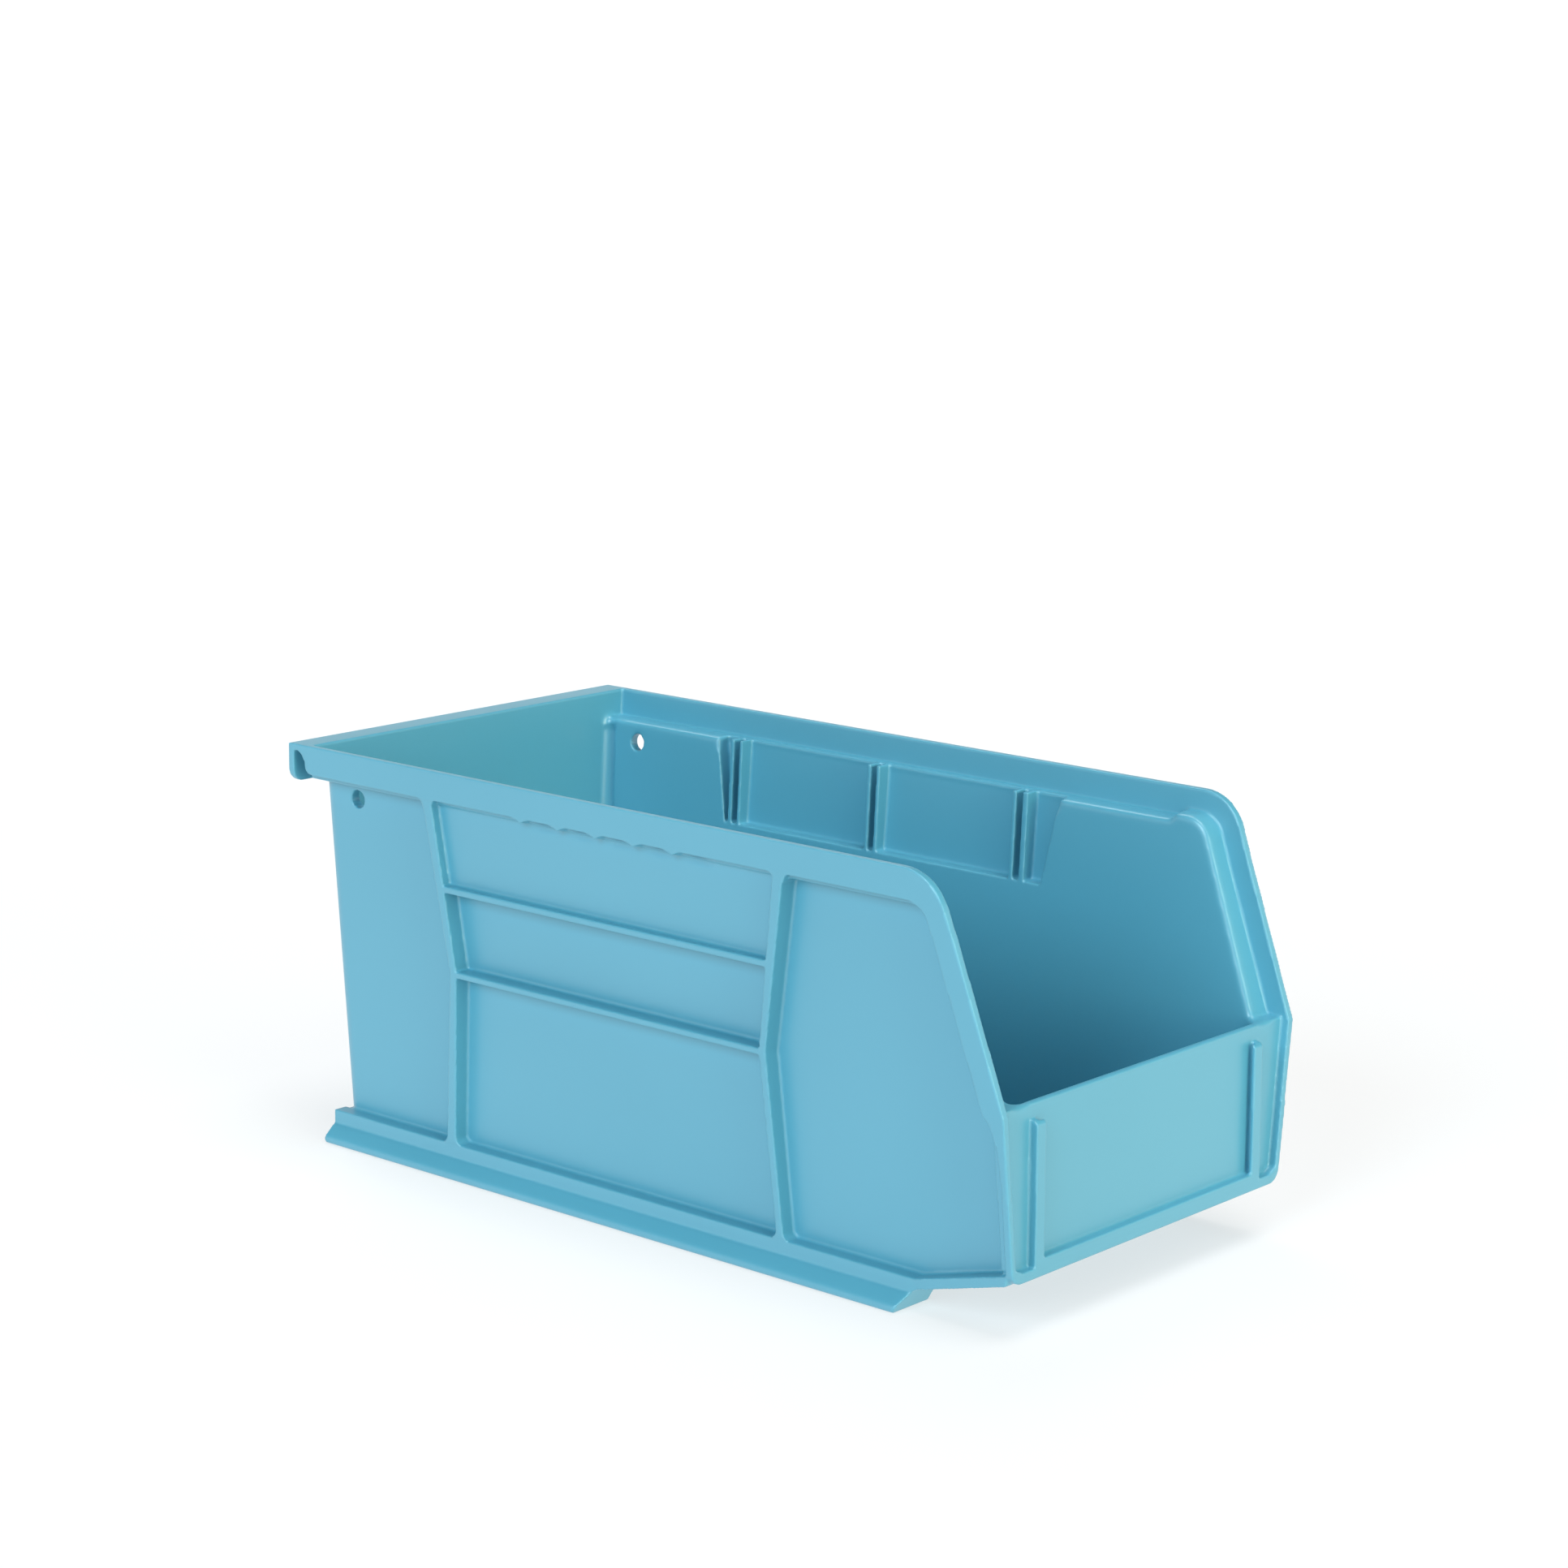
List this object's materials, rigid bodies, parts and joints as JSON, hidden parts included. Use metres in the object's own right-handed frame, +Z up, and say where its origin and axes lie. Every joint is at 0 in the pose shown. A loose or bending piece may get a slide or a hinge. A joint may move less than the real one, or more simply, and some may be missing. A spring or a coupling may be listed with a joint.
{
  "type": "stackable storage bin",
  "caption": "Light blue plastic stackable storage bin with an open sloped front, stacking rim, side ribs, foot rails, a card holder on the front and a hanging lip behind.",
  "frame": {"origin": "middle of the footprint, on the plane that the foot rails stand on", "axes": "+Z up, the open front faces -Y, +X to the right of a person facing the front"},
  "size_m": [0.142, 0.2766, 0.127],
  "materials": {
    "bin_plastic": "satin injection-moulded polypropylene"
  },
  "bodies": {
    "root": {"floor_plate": "bin_plastic", "front_ramp": "bin_plastic", "rear_wall": "bin_plastic", "front_wall": "bin_plastic", "left_rear_corner": "bin_plastic", "right_rear_corner": "bin_plastic", "left_rear_panel": "bin_plastic", "right_rear_panel": "bin_plastic", "left_middle_panel": "bin_plastic", "right_middle_panel": "bin_plastic", "left_front_panel": "bin_plastic", "right_front_panel": "bin_plastic", "left_front_corner": "bin_plastic", "right_front_corner": "bin_plastic", "left_stacking_ledge": "bin_plastic", "right_stacking_ledge": "bin_plastic", "left_slope_ledge": "bin_plastic", "right_slope_ledge": "bin_plastic", "left_rim_band": "bin_plastic", "right_rim_band": "bin_plastic", "left_slope_band": "bin_plastic", "right_slope_band": "bin_plastic", "left_front_flange": "bin_plastic", "right_front_flange": "bin_plastic", "left_finger_grip": "bin_plastic", "right_finger_grip": "bin_plastic", "left_rear_rib": "bin_plastic", "right_rear_rib": "bin_plastic", "left_front_rib": "bin_plastic", "right_front_rib": "bin_plastic", "left_upper_rib": "bin_plastic", "right_upper_rib": "bin_plastic", "left_lower_rib": "bin_plastic", "right_lower_rib": "bin_plastic", "left_divider_guides": "bin_plastic", "right_divider_guides": "bin_plastic", "left_base_band": "bin_plastic", "right_base_band": "bin_plastic", "left_foot_rail": "bin_plastic", "right_foot_rail": "bin_plastic", "front_base_band": "bin_plastic", "card_ledge": "bin_plastic", "left_card_rib": "bin_plastic", "right_card_rib": "bin_plastic", "hanger_top": "bin_plastic", "hanging_lip": "bin_plastic"}
  },
  "joints": []
}
